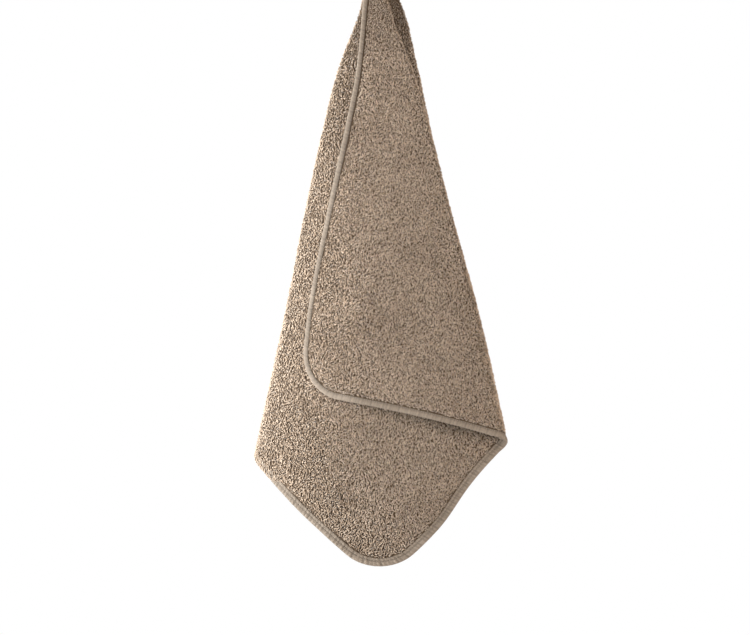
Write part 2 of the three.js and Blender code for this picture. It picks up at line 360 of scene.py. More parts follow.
    def surface(self, u: Array, v: Array) -> Arrays:
        """The cloth's middle surface: the points' places and normals.

        Args:
            u: Distances along the edge that it hangs by.
            v: Distances across the cloth.

        Returns:
            The places and the unit normals.
        """
        step = self.probe
        along_u = self.draped(u + step, v) - self.draped(u - step, v)
        along_v = self.draped(u, v + step) - self.draped(u, np.maximum(v - step, 0))
        return self.draped(u, v), unit(np.cross(along_u, along_v))

    def outward(self, u: Array, v: Array, out: Array, normal: Array) -> Array:
        """The direction in which the cloth would go on past its outline.

        Args:
            u: Distances along the edge that it hangs by.
            v: Distances across the cloth.
            out: The outward directions on the flat cloth.
            normal: The surface's normals there.

        Returns:
            A unit direction for each point.
        """
        ahead = self.draped(u, v) - self.draped(u - out[:, 0] * self.probe, v - out[:, 1] * self.probe)
        ahead -= normal * np.sum(ahead * normal, axis=-1, keepdims=True)
        return unit(ahead)

    def corners(self) -> list[Numbers]:
        """The inner outline's four corners: centre u, centre v and the angle each starts from.

        Returns:
            The centre u, the centre v and the start angle of each corner, in order.
        """
        far = self.half - self.inner_corner
        low, high = self.inner_corner, self.drop - self.inner_corner
        return [(far, low, -90), (far, high, 0), (-far, high, 90), (-far, low, 180)]

    def corner_point(self, u: float, v: float, turn: float) -> tuple[Pair, Pair]:
        """A point of the corner round (u, v), and its outward direction, at an angle in degrees."""
        facing = (math.cos(turn * DEGREE), math.sin(turn * DEGREE))
        return (u + self.inner_corner * facing[0], v + self.inner_corner * facing[1]), facing

    def outline_at(self, cut: float) -> tuple[float, Pair]:
        """The inner outline's point on a ray from the hanging point.

        Args:
            cut: The ray's angle on the flat cloth.

        Returns:
            Its distance, and the outline's outward direction there.
        """
        ray = (math.cos(cut * DEGREE), math.sin(cut * DEGREE))
        r = self.inner_corner
        for u, v, start in self.corners():
            ends = [self.corner_point(u, v, turn)[0] for turn in (start, start + 90)]
            first, last = (math.atan2(y, x) / DEGREE for x, y in ends)
            if not first - TINY <= cut <= last + TINY:
                continue
            middle = u * ray[0] + v * ray[1]
            distance = middle + math.sqrt(max(r * r - (u * u + v * v - middle * middle), 0))
            return distance, ((ray[0] * distance - u) / r, (ray[1] * distance - v) / r)
        if abs(self.half * math.tan(cut * DEGREE)) < self.drop:
            return self.half / abs(ray[0]), (1.0 if cut < 90 else -1.0, 0.0)
        return self.drop / ray[1], (0.0, 1.0)

    def rim_path(self, step: float) -> RimPath:
        """The whole inner outline as stations a step apart, once round from the hanging point.

        Args:
            step: How far apart the stations are.

        Returns:
            The stations.
        """
        points, outs = [], []

        def run(start: Pair, end: Pair, facing: Pair) -> None:
            """Adds a straight run of stations.

            Args:
                start: Where it starts.
                end: Where it ends.
                facing: Its outward direction.
            """
            parts = max(round(math.dist(start, end) / step), 1)
            for i in range(parts):
                points.append([a + (b - a) * (i / parts) for a, b in zip(start, end)])
                outs.append(facing)

        at = (0.0, 0.0)
        parts = max(round(self.inner_corner * QUARTER / step), 1)
        for u, v, start in self.corners():
            run(at, *self.corner_point(u, v, start))
            for i in range(parts):
                point, facing = self.corner_point(u, v, start + 90 * i / parts)
                points.append(point)
                outs.append(facing)
            at = self.corner_point(u, v, start + 90)[0]
        run(at, (0.0, 0.0), (0.0, -1.0))
        flat = np.array(points)
        flat[:, 1] = np.maximum(flat[:, 1], 0)
        steps = np.linalg.norm(np.diff(flat, axis=0, append=flat[:1]), axis=1)
        return RimPath(flat[:, 0], flat[:, 1], np.array(outs), np.cumsum(steps) - steps)

    def inset(self, u: Array, v: Array) -> Array:
        """How far inside the inner outline each point of the flat cloth is.

        Args:
            u: Distances along the edge that it hangs by.
            v: Distances across the cloth.

        Returns:
            The distances, below zero outside the outline.
        """
        across = np.abs(u) - (self.half - self.inner_corner)
        down = np.abs(v - self.drop / 2) - (self.drop / 2 - self.inner_corner)
        outside = np.hypot(np.maximum(across, 0), np.maximum(down, 0))
        return self.inner_corner - outside - np.minimum(np.maximum(across, down), 0)


class NodeGraph:
    """A node tree being built: adds nodes and joins their sockets."""

    def __init__(self, tree: bpy.types.NodeTree) -> None:
        """Starts from a tree, which keeps the nodes it has."""
        self.tree = tree

    def link(self, source: Socket, target: Socket) -> None:
        """Joins two sockets."""
        self.tree.links.new(source, target)

    def add(
        self, kind: str, inputs: dict[str | int, object] | None = None, **settings: object
    ) -> bpy.types.Node:
        """Adds a node.

        Args:
            kind: The node's type name.
            inputs: For each input's name or number, a value or the socket that feeds it.
            settings: The node's own properties.

        Returns:
            The node.
        """
        node = self.tree.nodes.new(kind)
        for name, value in settings.items():
            setattr(node, name, value)
        for name, value in (inputs or {}).items():
            if isinstance(value, Socket):
                self.link(value, node.inputs[name])
            else:
                node.inputs[name].default_value = value
        return node

    def math(self, operation: str, *values: object) -> Socket:
        """The result of a Math node on values or sockets."""
        return self.add("ShaderNodeMath", dict(enumerate(values)), operation=operation).outputs[0]

    def vector(self, operation: str, *values: object) -> Socket:
        """The result of a Vector Math node on vectors."""
        return self.add("ShaderNodeVectorMath", dict(enumerate(values)), operation=operation).outputs[0]

    def scaled(self, vector: Socket, factor: Socket) -> Socket:
        """A vector times a number."""
        return self.add("ShaderNodeVectorMath", {0: vector, "Scale": factor}, operation="SCALE").outputs[0]

    def ramp(self, value: Socket, low: float, high: float) -> Socket:
        """The value, taken from the range low to high onto 0 to 1."""
        inputs = {"Value": value, "From Min": low, "From Max": high}
        return self.add("ShaderNodeMapRange", inputs).outputs["Result"]

    def blend(self, share: object, first: object, second: object, mode: str = "MIX") -> Socket:
        """A mix of two colours."""
        inputs = {0: share, 6: first, 7: second}
        return self.add("ShaderNodeMix", inputs, data_type="RGBA", blend_type=mode).outputs[2]

    def place(self) -> Socket:
        """Object coordinates."""
        return self.add("ShaderNodeTexCoord").outputs["Object"]

    def painted(self, name: str) -> Socket:
        """A number that the mesh holds, under this name."""
        return self.add("ShaderNodeAttribute", attribute_name=name).outputs["Fac"]

    def noise(self, place: Socket, scale: object, detail: float) -> Socket:
        """Soft noise between 0 and 1."""
        inputs = {"Vector": place, "Scale": scale, "Detail": detail}
        return self.add("ShaderNodeTexNoise", inputs).outputs["Fac"]

    def bump(self, height: Socket, strength: float, distance: float) -> Socket:
        """The normal of a relief."""
        inputs = {"Height": height, "Strength": strength, "Distance": distance}
        return self.add("ShaderNodeBump", inputs).outputs["Normal"]


def make_group(
    name: str, kind: str, inputs: dict[str, tuple[str, object]], outputs: dict[str, str]
) -> tuple[NodeGraph, bpy.types.Node, bpy.types.Node]:
    """Starts a node group with named sockets.

    Args:
        name: The group's name.
        kind: ShaderNodeTree or GeometryNodeTree.
        inputs: Each input's socket type, and its starting value or None.
        outputs: Each output's socket type.

    Returns:
        The graph, its input node and its output node.
    """
    tree = bpy.data.node_groups.new(name, kind)
    for label, (socket_type, value) in inputs.items():
        socket = tree.interface.new_socket(label, in_out="INPUT", socket_type=socket_type)
        if value is not None:
            socket.default_value = value
    for label, socket_type in outputs.items():
        tree.interface.new_socket(label, in_out="OUTPUT", socket_type=socket_type)
    graph = NodeGraph(tree)
    return graph, graph.add("NodeGroupInput"), graph.add("NodeGroupOutput")


def yarn_tone_group() -> None:
    """Makes the dyed yarn's colour: soft patches over the cloth, and a finer change from yarn to yarn."""
    sockets = {
        "Vector": ("NodeSocketVector", None),
        "Deep": ("NodeSocketColor", (0.2, 0.15, 0.11, 1)),
        "Pale": ("NodeSocketColor", (0.4, 0.32, 0.25, 1)),
        "Patch Scale": ("NodeSocketFloat", 14.0),
        "Fleck Scale": ("NodeSocketFloat", 260.0),
        "Patchiness": ("NodeSocketFloat", 0.3),
    }
    graph, start, end = make_group("Yarn tone", "ShaderNodeTree", sockets, {"Color": "NodeSocketColor"})
    given = start.outputs
    patch = graph.ramp(graph.noise(given["Vector"], given["Patch Scale"], 3.0), 0.3, 0.7)
    fleck = graph.ramp(graph.noise(given["Vector"], given["Fleck Scale"], 2.0), 0.32, 0.68)
    rest = graph.math("SUBTRACT", 1.0, given["Patchiness"])
    flecks = graph.math("MULTIPLY", fleck, rest)
    mixed = graph.math("ADD", graph.math("MULTIPLY", patch, given["Patchiness"]), flecks)
    graph.link(graph.blend(mixed, given["Deep"], given["Pale"]), end.inputs["Color"])


@dataclass(frozen=True)
class ClothFinish:
    """What the towel's finishes share: a pale and a deep tone of the same dye."""

    name: str
    deep: Colour
    pale: Colour
    roughness: float = 1.0
    sheen: float = 0.0

    def material(self) -> Material:
        """The finished material. Its shader holds the constant values.

        Returns:
            The material.
        """
        material = bpy.data.materials.new(self.name)
        material.use_nodes = True
        material.diffuse_color = self.pale
        inputs = material.node_tree.nodes["Principled BSDF"].inputs
        inputs["Roughness"].default_value = self.roughness
        inputs["Specular IOR Level"].default_value = 0.15
        inputs["Sheen Weight"].default_value = self.sheen
        inputs["Sheen Roughness"].default_value = 0.5
        graph = NodeGraph(material.node_tree)
        for label, socket in self.paint(graph, graph.place()).items():
            graph.link(socket, inputs[label])
        return material

    def paint(self, graph: NodeGraph, place: Socket) -> dict[str, Socket]:
        """The shader inputs that vary over the surface, by name."""
        raise NotImplementedError

    def tone(self, graph: NodeGraph, place: Socket, patches: float, flecks: float, share: float) -> Socket:
        """This finish's colours, mixed by the yarn tone group.

        Args:
            graph: The material's graph.
            place: Object coordinates.
            patches: The scale of the soft patches.
            flecks: The scale of the change from yarn to yarn.
            share: How much of the change is in the patches.

        Returns:
            The colour.
        """
        inputs = {
            "Vector": place,
            "Deep": self.deep,
            "Pale": self.pale,
            "Patch Scale": patches,
            "Fleck Scale": flecks,
            "Patchiness": share,
        }
        group = bpy.data.node_groups["Yarn tone"]
        return graph.add("ShaderNodeGroup", inputs, node_tree=group).outputs["Color"]


@dataclass(frozen=True)
class GroundFinish(ClothFinish):
    """The woven ground between the terry loops, with worm-like loops as its relief. Its tones are kept near
    black as painted shade of the pits between the loops.
    """

    def paint(self, graph: NodeGraph, place: Socket) -> dict[str, Socket]:
        """The shader inputs that vary: the relief, and painted shade that darkens its hollows towards the
        deep tone.

        Args:
            graph: The material's graph.
            place: Object coordinates.

        Returns:
            The sockets, under the names of the shader inputs they go to.
        """
        tone = self.tone(graph, place, 16.0, 420.0, 0.35)
        ridge = graph.math("ABSOLUTE", graph.math("SUBTRACT", graph.noise(place, 330.0, 1.5), 0.5))
        relief_and_painted_shade = graph.ramp(ridge, 0.11, 0.0)
        # painted shade: the colour goes towards the deep tone in the relief's hollows
        colour = graph.blend(graph.math("MULTIPLY_ADD", relief_and_painted_shade, -0.6, 0.6), tone, self.deep)
        return {"Base Color": colour, "Normal": graph.bump(relief_and_painted_shade, 0.8, 0.0012)}


@dataclass(frozen=True)
class LoopFinish(ClothFinish):
    """The terry loops, pale at the crown and deep at the foot, where the deep tone is painted shade of the
    loops on one another.
    """

    def paint(self, graph: NodeGraph, place: Socket) -> dict[str, Socket]:
        """The shader inputs that vary, by painted shade that darkens the yarn from crown to foot and by the
        tint of each of the loops.

        Args:
            graph: The material's graph.
            place: Object coordinates.

        Returns:
            The sockets, under the names of the shader inputs they go to.
        """
        tone = self.tone(graph, place, 16.0, 300.0, 0.3)
        # painted shade: the yarn goes from its pale tone at the crown to the deep tone at the foot
        painted_foot_shade = graph.blend(graph.ramp(graph.painted("rise"), 0.0, 0.7), self.deep, tone)
        level = graph.math("MULTIPLY_ADD", graph.math("SQRT", graph.painted("tint")), 0.86, 0.44)
        warmer = {0: level, 1: graph.math("POWER", level, 1.12), 2: graph.math("POWER", level, 1.25)}
        dyed = graph.add("ShaderNodeCombineColor", warmer).outputs[0]
        colour = graph.blend(1.0, painted_foot_shade, dyed, "MULTIPLY")
        return {"Base Color": colour, "Normal": graph.bump(graph.noise(place, 1500.0, 1.0), 0.5, 0.0003)}


@dataclass(frozen=True)
class TapeFinish(ClothFinish):
    """The binding's fine woven tape, ribbed along and across its length."""

    rib_pitch: float = 0.8

    def paint(self, graph: NodeGraph, place: Socket) -> dict[str, Socket]:
        """The shader inputs that vary, by the tape's own map in millimetres and by painted shade and light:
        darker in the puckers' troughs and along the stitch lines, lighter on the crests.

        Args:
            graph: The material's graph.
            place: Object coordinates.

        Returns:
            The sockets, under the names of the shader inputs they go to.
        """
        tone = self.tone(graph, place, 30.0, 700.0, 0.6)
        own = graph.add("ShaderNodeUVMap", uv_map="tape").outputs["UV"]
        parts = graph.add("ShaderNodeSeparateXYZ", {0: own}).outputs
        turns = [graph.math("MULTIPLY", parts[i], 2 * math.pi / self.rib_pitch) for i in range(2)]
        ribs = [graph.math("MULTIPLY_ADD", graph.math("SINE", turn), 0.5, 0.5) for turn in turns]
        weave = graph.math("MULTIPLY_ADD", ribs[1], 0.35, graph.math("MULTIPLY", ribs[0], 0.65))
        woven = graph.blend(graph.math("MULTIPLY_ADD", weave, -0.3, 0.3), tone, self.deep)
        # painted shade and light: darker in the puckers' troughs and along the stitch lines, lighter on their
        # crests
        full = graph.math("MULTIPLY_ADD", graph.painted("full"), 0.15, 1.0)
        level = graph.add("ShaderNodeCombineColor", {0: full, 1: full, 2: full}).outputs[0]
        colour = graph.blend(1.0, woven, level, "MULTIPLY")
        return {"Base Color": colour, "Normal": graph.bump(weave, 0.4, 0.0002)}


@dataclass(frozen=True)
class ThreadFinish(ClothFinish):
    """The sewing thread of the binding."""

    def paint(self, graph: NodeGraph, place: Socket) -> dict[str, Socket]:
        """The shader input that varies."""
        return {"Base Color": self.tone(graph, place, 40.0, 2500.0, 0.3)}


@dataclass(frozen=True)
class FloorFinish(ClothFinish):
    """The studio's plain pale floor."""

    def paint(self, graph: NodeGraph, place: Socket) -> dict[str, Socket]:
        """One plain colour.

        Args:
            graph: The material's graph.
            place: Object coordinates.

        Returns:
            The sockets, under the names of the shader inputs they go to.
        """
        plain = graph.add("ShaderNodeRGB").outputs[0]
        plain.default_value = self.pale
        return {"Base Color": plain}


def new_piece(name: str, mesh: Mesh, material: Material) -> Piece:
    """Links a finished mesh as a piece at the origin that rides on the towel's body.

    Args:
        name: Its name.
        mesh: Its mesh, in metres.
        material: Its finish.

    Returns:
        The piece.
    """
    piece = bpy.data.objects.new(name, mesh)
    bpy.context.scene.collection.objects.link(piece)
    mesh.materials.clear()
    mesh.materials.append(material)
    mesh.shade_smooth()
    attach(piece, "root")
    log.info("%s: %d faces, finish %s", name, len(mesh.polygons), material.name)
    return piece


def mesh_of(name: str, points: Array, faces: list[list[int]]) -> Mesh:
    """A mesh in metres from points in millimetres.

    Args:
        name: The mesh's name.
        points: The points.
        faces: Each face's point numbers.

    Returns:
        The mesh.
    """
    mesh = bpy.data.meshes.new(name)
    mesh.from_pydata((points * MM).tolist(), [], faces)
    mesh.update()
    return mesh


def pairs(columns: int, rows: int) -> Arrays:
    """The column and the row of every cell of a grid, one column after another."""
    return tuple(part.ravel() for part in np.meshgrid(np.arange(columns), np.arange(rows), indexing="ij"))


def set_map(mesh: Mesh, name: str, per_corner: Array) -> None:
    """Writes a UV map from one place for each face corner."""
    mesh.uv_layers.new(name=name).uv.foreach_set("vector", per_corner.astype(np.float32).ravel())


def set_values(mesh: Mesh, name: str, values: Array) -> None:
    """Writes a number, or a vector, for each point of the mesh."""
    kind, part = ("FLOAT_VECTOR", "vector") if values.ndim == 2 else ("FLOAT", "value")
    mesh.attributes.new(name, kind, "POINT").data.foreach_set(part, values.astype(np.float32).ravel())


@dataclass
class TerrySheet:
    """The ground of the terry: one closed sheet that carries the loops and ends inside the binding.

    It is a fan of columns round the hanging point. Its steps are degrees and its other lengths are
    millimetres.
    """

    cloth: HungCloth
    rows: int = 86
    crowding: float = 0.9
    fine_step: float = 0.42
    coarse_step: float = 1.05
    fine_zone: Pair = (1.5, 6)
    ground_share: float = 0.35
    bound_half: float = 0.7
    tuck: Pair = (0.8, 7.4)
    map_margin: float = 2
    rays: int = 16
    ray_lift: float = 1.2
    least_rise: float = 0.12
    facing_limit: float = 0.25
    seen: dict[str, Array] = field(default_factory=dict)

    def __post_init__(self) -> None:
        """Works out the grid of the flat cloth and its place in the air."""
        self.angles = self.column_angles()
        row = np.arange(1, self.rows + 1) / self.rows
        self.shares = (np.exp(self.crowding * row) - 1) / (math.exp(self.crowding) - 1)
        ends = [self.cloth.outline_at(cut) for cut in self.angles]
        self.reach = np.array([end[0] for end in ends])
        self.out = np.array([end[1] for end in ends])
        distance = self.reach[:, None] * self.shares[None, :]
        self.u = distance * np.cos(self.angles * DEGREE)[:, None]
        self.v = np.maximum(distance * np.sin(self.angles * DEGREE)[:, None], 0)
        grids = self.cloth.surface(self.u.ravel(), self.v.ravel())
        self.place, self.normal = (grid.reshape(*self.u.shape, 3) for grid in grids)

    def column_angles(self) -> Array:
        """The columns' angles on the flat cloth, close together at the folds.

        Returns:
            The angles in degrees, from 0 to 180.
        """
        found = [0.0]
        while found[-1] < 180:
            near = min(abs(found[-1] - line.cut) for line in self.cloth.lines)
            wide = float(ease(np.array(near), *self.fine_zone))
            found.append(found[-1] + (self.fine_step + (self.coarse_step - self.fine_step) * wide))
        return np.array(found) * 180 / found[-1]

    def half_at(self, u: Array, v: Array) -> Array:
        """Half the thickness of the ground."""
        return self.cloth.thickness(np.hypot(u, v)) / 2 * self.ground_share

    def stations(self) -> Arrays:
        """The grid's edge, once round.

        Returns:
            Each station's column (-1 at the hanging point), row, flat place and outward direction.
        """
        columns, rows = self.u.shape
        last = np.full(rows - 1, columns - 1)
        column = np.concatenate([[-1], np.zeros(rows - 1, int), np.arange(columns), last])
        down = np.arange(rows - 1)
        row = np.concatenate([[0], down, np.full(columns, rows - 1), down[::-1]])
        flat = np.stack([self.u[column, row], self.v[column, row]], axis=-1)
        flat[0] = 0
        out = np.tile([0.0, -1.0], (len(column), 1))
        out[rows : rows + columns] = self.out
        return column, row, flat, out

    def build(self) -> Mesh:
        """The closed sheet as a mesh, with the map that it is baked to.

        Returns:
            The mesh.
        """
        columns, rows = self.u.shape
        origin = np.zeros(1)
        middle, up = self.cloth.surface(origin, origin)
        lift = self.half_at(origin, origin) * up
        raised = self.normal * self.half_at(self.u, self.v)[..., None]
        both = np.stack([self.place + raised, self.place - raised], axis=2)
        points = [middle + lift, middle - lift, both.reshape(-1, 3)]
        flat = [np.zeros((2, 2)), np.repeat(np.stack([self.u, self.v], -1).reshape(-1, 2), 2, axis=0)]

        column, row, at, out = self.stations()
        place, normal = self.cloth.surface(*at.T)
        bound = np.minimum(self.half_at(*at.T), self.bound_half)[:, None]
        outward = self.cloth.outward(*at.T, out, normal) * self.cloth.rim_share(np.hypot(*at.T))[:, None]
        rim = [place + outward * reach + normal * bound * sign for reach in self.tuck for sign in (1, -1)]
        rim_flat = [at + out * reach for reach in self.tuck for _ in Side]
        points.append(np.stack(rim, axis=1).reshape(-1, 3))
        flat.append(np.stack(rim_flat, axis=1).reshape(-1, 2))

        def index(c: Array, r: Array, face: int) -> Array:
            """The number of a grid point on one face, with -1 as the hanging point's column."""
            return np.where(c < 0, face, 2 + (c * rows + r) * 2 + face)

        def rim_index(i: Array, step: int, face: int) -> Array:
            """The number of a rim point, or of the grid's own edge before the first step.

            Args:
                i: The numbers of the stations.
                step: Which step out it is, -1 for the grid's own edge.
                face: 0 for the face of the cloth, 1 for the reverse.

            Returns:
                The points' numbers.
            """
            if step < 0:
                return index(column[i], row[i], face)
            return 2 + both.size // 3 + (i * 2 + step) * 2 + face

        faces: list[list[int]] = []
        sides: list[Array] = []

        def add(face: int, *corners: Array) -> None:
            """Adds a block of faces, turned to look outwards, on one side's half of the map.

            Args:
                face: 0 for the face of the cloth, 1 for the reverse.
                corners: The point numbers at each corner of the faces.
            """
            block = np.stack(corners, axis=1)
            faces.extend((block[:, ::-1] if face else block).tolist())
            sides.append(np.full(block.size, face))

        c, r = pairs(columns - 1, rows - 1)
        first = np.arange(columns - 1)
        zero = np.zeros_like(first)
        for face in (0, 1):
            add(face, *(index(c + i, r + k, face) for i, k in ((0, 0), (0, 1), (1, 1), (1, 0))))
            add(face, *(index(i, zero, face) for i in (zero - 1, first, first + 1)))
        ring = np.arange(len(column))
        following = np.roll(ring, -1)
        for step in (0, 1):
            for face in (0, 1):
                here = [rim_index(ring, step + k, face) for k in (-1, 0)]
                add(face, *here, *(rim_index(following, step + k, face) for k in (0, -1)))
        add(0, *(rim_index(i, 1, face) for i, face in ((ring, 0), (ring, 1), (following, 1), (following, 0))))

        mesh = mesh_of("terry_ground", np.concatenate(points), faces)
        corner = np.empty(len(mesh.loops), np.int32)
        mesh.loops.foreach_get("vertex_index", corner)
        spread = np.concatenate(flat)[corner]
        width, height = (size + 2 * self.map_margin for size in (self.cloth.length, self.cloth.width))
        down = (spread[:, 1] + self.cloth.rim + self.map_margin) / height
        bake = np.stack([spread[:, 0] / width + 0.5, (down + np.concatenate(sides)) / 2], axis=-1)
        set_map(mesh, BAKE_MAP, bake)
        return mesh

    def directions(self) -> Array:
        """Directions spread evenly over a sphere.

        Returns:
            One unit direction for each ray.
        """
        turns = np.arange(self.rays) + 0.5
        height = 1 - 2 * turns / self.rays
        level = np.sqrt(1 - height**2)
        angle = turns * math.pi * (3 - math.sqrt(5))
        return np.stack([level * np.cos(angle), level * np.sin(angle), height], axis=-1)

    def expose(self, mesh: Mesh) -> None:
        """Finds how openly each point of the two faces lies, by rays that leave the cloth or don't.

        Args:
            mesh: The finished ground, which casts the shadows.
        """
        points = [tuple(vertex.co) for vertex in mesh.vertices]
        tree = BVHTree.FromPolygons(points, [tuple(face.vertices) for face in mesh.polygons])
        directions = self.directions()
        columns, rows = self.u.shape
        half = self.half_at(self.u, self.v)[..., None]
        self.seen = {name: np.zeros((columns, rows, 2)) for name in ("open", "facing")}
        viewer = Vector((0, -1, 0))
        for side in Side:
            normal = self.normal * side.sign
            starts = (self.place + normal * (half + self.ray_lift)) * MM
            for c in range(columns):
                for r in range(0, rows, 2):
                    at, up = Vector(starts[c, r]), normal[c, r]
                    asked = [way for way in directions if float(way @ up) >= self.least_rise]
                    free = sum(tree.ray_cast(at, Vector(way))[0] is None for way in asked)
                    self.seen["open"][c, r, side.value] = free / max(len(asked), 1)
                    if up[1] < self.facing_limit and tree.ray_cast(at, viewer)[0] is None:
                        self.seen["facing"][c, r, side.value] = 1
            for values in self.seen.values():
                line = values[..., side.value]
                after = line[:, 2::2]
                line[:, 1:-1:2] = (line[:, 0:-2:2] + after) / 2
                line[:, -1] = line[:, -2]

    def read(self, name: str, side: Side, u: Array, v: Array) -> Array:
        """What expose found, at points of the flat cloth.

        Args:
            name: Which value.
            side: Which face of the cloth.
            u: Distances along the edge that it hangs by.
            v: Distances across the cloth.

        Returns:
            The value at each point, from the four grid points round it.
        """
        cut = np.clip(np.arctan2(v, u) / DEGREE, 0, 180)
        column = np.interp(cut, self.angles, np.arange(len(self.angles)))
        share = np.hypot(u, v) / np.interp(cut, self.angles, self.reach)
        row = np.interp(share, self.shares, np.arange(len(self.shares)))
        c = np.minimum(column.astype(int), len(self.angles) - 2)
        r = np.minimum(row.astype(int), len(self.shares) - 2)
        s, t = column - c, row - r
        values = self.seen[name][..., side.value]
        near, far = (values[k, r] * (1 - t) + values[k, r + 1] * t for k in (c, c + 1))
        return near * (1 - s) + far * s


class YarnShape(Enum):
    """The paths that short lengths of yarn take, in millimetres, from end to end."""

    ARCH = ((-2.1, -0.5, -1.0), (-1.4, 0.3, 1.1), (0, 0.7, 1.7), (1.4, 0.2, 1.1), (2.1, -0.6, -1.0))
    CRESCENT = ((-1.8, -1.1, -1.0), (-0.9, 0.6, 1.45), (0.9, 0.7, 1.5), (1.8, -1.1, -1.0))
    SNAKE = ((-2.3, 0.9, -1.0), (-1.5, 0.7, 1.1), (0, 0, 1.65), (1.5, -0.7, 1.1), (2.3, -0.8, -1.0))
    TUFT = ((-2.2, -0.4, -1.0), (-1.0, 0.4, 1.2), (1.0, 0.4, 1.25), (2.2, -0.5, -1.0))
    BEAN = ((-1.8, -1.0, -1.0), (-0.9, 0.6, 1.1), (0.9, 0.7, 1.2), (1.9, -0.9, -1.0))
    WAVE = ((-2.3, 0.8, -1.0), (-1.1, 0.5, 1.15), (1.1, -0.5, 1.15), (2.3, -0.7, -1.0))
    STITCH = ((-1.4, 0, -0.3), (-0.6, 0, 0.16), (0.6, 0, 0.16), (1.4, 0, -0.3))

    def mesh(self, radius: float) -> Mesh:
        """A closed tube of three sides along the path, drawn to a point at both ends.

        Args:
            radius: The yarn's radius in millimetres.

        Returns:
            The mesh, with how high each point is and the map that it is baked to.
        """
        path = np.array(self.value, float)
        rings = len(path) - 2
        ahead = unit(path[2:] - path[:-2])
        right = unit(np.cross(ahead, [0.0, 0.0, 1.0]))
        over = np.cross(right, ahead)
        points = [path[0]]
        for i in range(rings):
            swell = radius * YARN_SWELL["middle" if 0 < i < rings - 1 else "end"]
            for k in range(YARN_SIDES):
                turn = math.pi * (0.5 + 2 * k / YARN_SIDES)
                points.append(path[i + 1] + (right[i] * math.cos(turn) + over[i] * math.sin(turn)) * swell)
        points.append(path[-1])
        rows = [i / (rings + 1) for i in range(rings + 2)]
        last = YARN_SIDES * (rings - 1)
        faces, maps = [], []
        for k in range(YARN_SIDES):
            a, b = k + 1, (k + 1) % YARN_SIDES + 1
            left_edge, right_edge = k / YARN_SIDES, (k + 1) / YARN_SIDES
            middle = (left_edge + right_edge) / 2
            faces.append([0, b, a])
            maps += [(middle, 0.0), (right_edge, rows[1]), (left_edge, rows[1])]
            for i in range(rings - 1):
                low, high = YARN_SIDES * i, YARN_SIDES * (i + 1)
                near, far = rows[i + 1], rows[i + 2]
                faces.append([low + a, low + b, high + b, high + a])
                maps += [(left_edge, near), (right_edge, near), (right_edge, far), (left_edge, far)]
            faces.append([last + a, last + b, len(points) - 1])
            maps += [(left_edge, rows[-2]), (right_edge, rows[-2]), (middle, 1.0)]
        mesh = mesh_of(self.name.lower(), np.array(points), faces)
        mesh.shade_smooth()
        height = np.array(points)[:, 2]
        set_values(mesh, "rise", (height - height.min()) / np.ptp(height))
        set_map(mesh, BAKE_MAP, np.array(maps))
        return mesh


SHAPE_INPUTS = ("First Shape", "Second Shape", "Third Shape")


